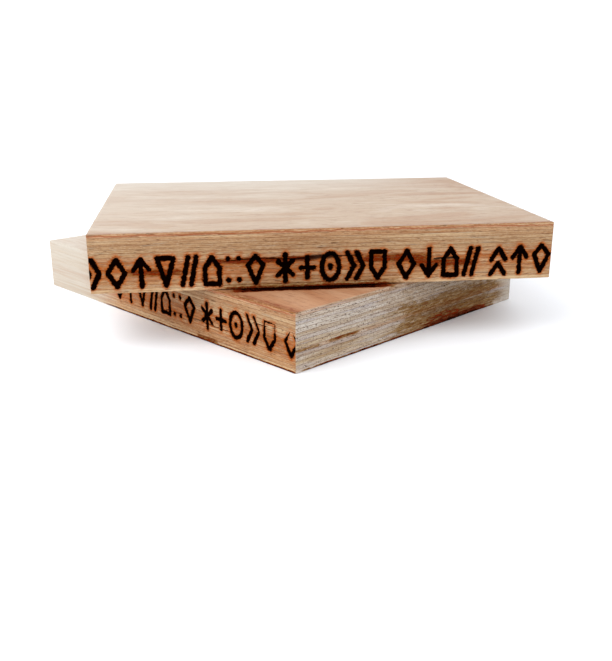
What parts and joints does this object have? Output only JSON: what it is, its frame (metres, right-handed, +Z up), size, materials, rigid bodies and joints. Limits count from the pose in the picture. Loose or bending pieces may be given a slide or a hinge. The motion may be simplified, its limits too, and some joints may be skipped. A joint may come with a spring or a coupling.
{
  "type": "scaffold plank",
  "caption": "Short sawn sections of a laminated veneer lumber scaffold plank, one lying loosely across the other, to walk on or to show the plank's build.",
  "frame": {"origin": "centre of the lower section's underside, on the surface that the stack stands on", "axes": "+Z up, through the thickness of both sections; +X along the upper section's grain; +Y across the upper section, away from its marked edge"},
  "size_m": [0.3644, 0.3768, 0.0765],
  "materials": {
    "veneer_face": "bare rotary-peeled face veneer, matt",
    "veneer_reddish": "bare sawn edge, matt, reddish summerwood",
    "veneer_tan": "bare sawn edge, matt",
    "veneer_pale": "bare sawn edge, matt, pale springwood",
    "veneer_greyish": "bare sawn edge, matt, greyed",
    "phenolic_glue": "dark reddish-brown cured phenolic resin"
  },
  "bodies": {
    "lower_section": {"lower_bottom_face_veneer": "veneer_pale", "lower_core_veneer_01": "veneer_greyish", "lower_core_veneer_02": "veneer_tan", "lower_core_veneer_03": "veneer_reddish", "lower_core_veneer_04": "veneer_greyish", "lower_core_veneer_05": "veneer_tan", "lower_core_veneer_06": "veneer_reddish", "lower_core_veneer_07": "veneer_pale", "lower_core_veneer_08": "veneer_tan", "lower_core_veneer_09": "veneer_greyish", "lower_core_veneer_10": "veneer_tan", "lower_core_veneer_11": "veneer_pale", "lower_core_veneer_12": "veneer_greyish", "lower_core_veneer_13": "veneer_reddish", "lower_top_face_veneer": "veneer_face", "lower_glue_line_01": "phenolic_glue", "lower_glue_line_02": "phenolic_glue", "lower_glue_line_03": "phenolic_glue", "lower_glue_line_04": "phenolic_glue", "lower_glue_line_05": "phenolic_glue", "lower_glue_line_06": "phenolic_glue", "lower_glue_line_07": "phenolic_glue", "lower_glue_line_08": "phenolic_glue", "lower_glue_line_09": "phenolic_glue", "lower_glue_line_10": "phenolic_glue", "lower_glue_line_11": "phenolic_glue", "lower_glue_line_12": "phenolic_glue", "lower_glue_line_13": "phenolic_glue", "lower_glue_line_14": "phenolic_glue"},
    "upper_section": {"upper_bottom_face_veneer": "veneer_pale", "upper_core_veneer_01": "veneer_greyish", "upper_core_veneer_02": "veneer_tan", "upper_core_veneer_03": "veneer_reddish", "upper_core_veneer_04": "veneer_greyish", "upper_core_veneer_05": "veneer_tan", "upper_core_veneer_06": "veneer_reddish", "upper_core_veneer_07": "veneer_pale", "upper_core_veneer_08": "veneer_tan", "upper_core_veneer_09": "veneer_greyish", "upper_core_veneer_10": "veneer_tan", "upper_core_veneer_11": "veneer_pale", "upper_core_veneer_12": "veneer_greyish", "upper_core_veneer_13": "veneer_reddish", "upper_top_face_veneer": "veneer_face", "upper_glue_line_01": "phenolic_glue", "upper_glue_line_02": "phenolic_glue", "upper_glue_line_03": "phenolic_glue", "upper_glue_line_04": "phenolic_glue", "upper_glue_line_05": "phenolic_glue", "upper_glue_line_06": "phenolic_glue", "upper_glue_line_07": "phenolic_glue", "upper_glue_line_08": "phenolic_glue", "upper_glue_line_09": "phenolic_glue", "upper_glue_line_10": "phenolic_glue", "upper_glue_line_11": "phenolic_glue", "upper_glue_line_12": "phenolic_glue", "upper_glue_line_13": "phenolic_glue", "upper_glue_line_14": "phenolic_glue"}
  },
  "joints": [
    {"name": "upper_lift", "type": "slide", "parent": "lower_section", "child": "upper_section", "axis": [0, 0, 1], "range_m": [0, 0.08]}
  ]
}
